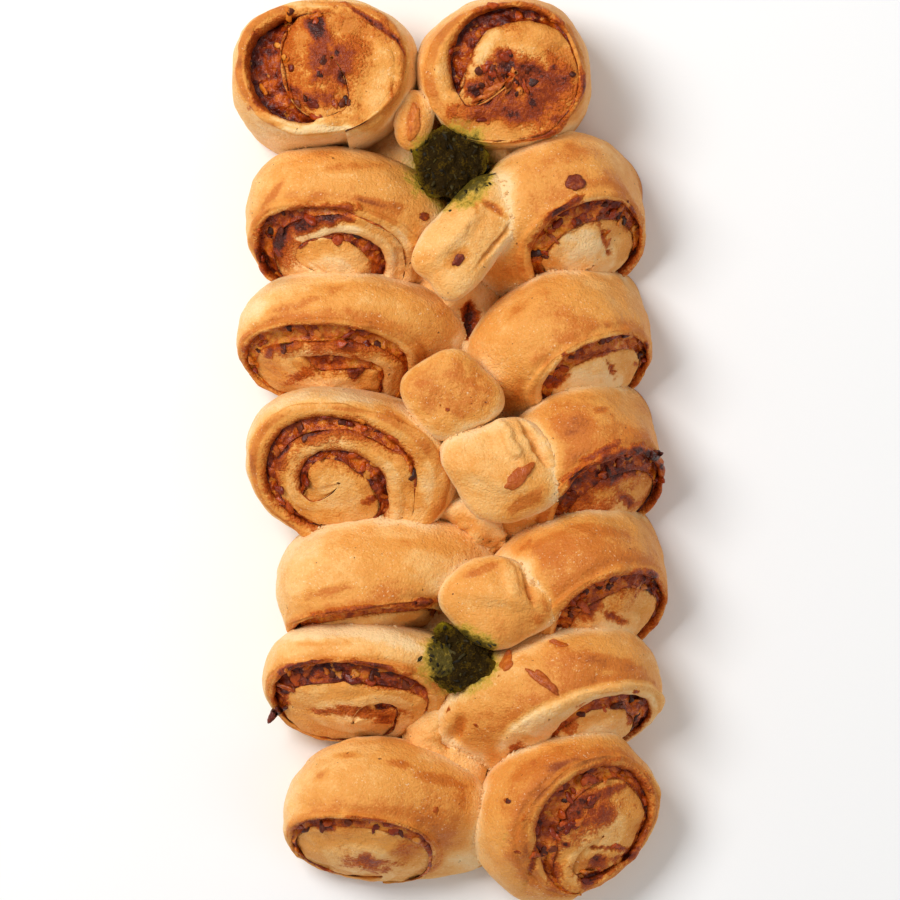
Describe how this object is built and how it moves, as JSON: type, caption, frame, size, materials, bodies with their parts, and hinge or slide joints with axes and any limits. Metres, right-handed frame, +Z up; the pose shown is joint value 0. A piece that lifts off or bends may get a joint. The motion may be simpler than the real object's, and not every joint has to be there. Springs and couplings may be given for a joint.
{
  "type": "filled pull-apart bread",
  "caption": "Baked loaf of a filled, rolled dough log, cut into leaning spiral slices in two columns with small dough knobs and dips of herb paste along the middle.",
  "frame": {"origin": "centre of the loaf's footprint, on the surface that it rests on", "axes": "+Y along the loaf towards its head, where the two slices lie flattest; +X to the right seen from above with the head up; +Z up, out of the crust"},
  "size_m": [0.1844, 0.3824, 0.0614],
  "materials": {
    "crust": "baked dough: golden brown, soft sheen, small blisters, paler in the cuts",
    "filling": "baked tomato and cheese filling: moist, lumpy, dark red to orange-brown",
    "pesto": "baked green herb paste: matted, oily at the edge"
  },
  "bodies": {
    "root": {"roll_left_1": "crust", "roll_left_2": "crust", "roll_left_3": "crust", "roll_left_4": "crust", "roll_left_5": "crust", "roll_left_6": "crust", "roll_left_7": "crust", "roll_right_1": "crust", "roll_right_2": "crust", "roll_right_3": "crust", "roll_right_4": "crust", "roll_right_5": "crust", "roll_right_6": "crust", "roll_right_7": "crust", "knob_1": "crust", "knob_2": "crust", "knob_3": "crust", "knob_4": "crust", "knob_5": "crust", "spine": "crust", "filling_left_1": "filling", "filling_left_2": "filling", "filling_left_3": "filling", "filling_left_4": "filling", "filling_left_5": "filling", "filling_left_6": "filling", "filling_left_7": "filling", "filling_right_1": "filling", "filling_right_2": "filling", "filling_right_3": "filling", "filling_right_4": "filling", "filling_right_5": "filling", "filling_right_6": "filling", "filling_right_7": "filling", "pesto_1": "pesto", "pesto_2": "pesto"}
  },
  "joints": []
}
